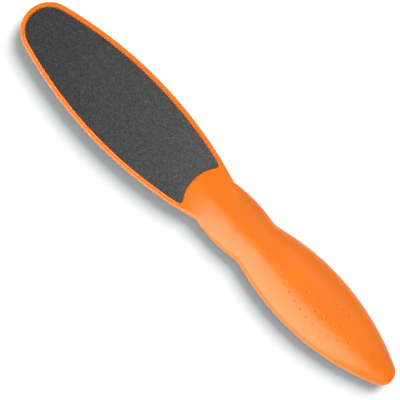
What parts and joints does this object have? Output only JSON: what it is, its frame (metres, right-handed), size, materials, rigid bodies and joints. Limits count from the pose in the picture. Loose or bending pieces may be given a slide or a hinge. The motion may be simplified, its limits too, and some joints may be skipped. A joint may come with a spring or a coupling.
{
  "type": "foot file",
  "caption": "Two-sided foot file: leaf-shaped rigid blade with an abrasive sheet set in a lipped pocket on each face, and a soft bulbous grip moulded round its tang.",
  "frame": {"origin": "under the middle of the tool's length and width, on the plane that the grip's belly touches", "axes": "+X along the tool from the blade's tip to the grip's end, +Z out of the coarse face"},
  "size_m": [0.225, 0.0386, 0.0148],
  "materials": {
    "blade_plastic": "satin moulded, through-coloured orange",
    "grip_soft": "satin soft-touch, through-coloured orange",
    "adhesive_film": "milky acrylic film",
    "backing_paper": "matt waterproof paper",
    "coarse_grain": "coarse dark grey grains in resin",
    "fine_grain": "fine grey grains in resin"
  },
  "bodies": {
    "root": {"blade_core": "blade_plastic", "grip_sleeve": "grip_soft", "coarse_film": "adhesive_film", "coarse_backing": "backing_paper", "coarse_grit": "coarse_grain", "fine_film": "adhesive_film", "fine_backing": "backing_paper", "fine_grit": "fine_grain"}
  },
  "joints": []
}
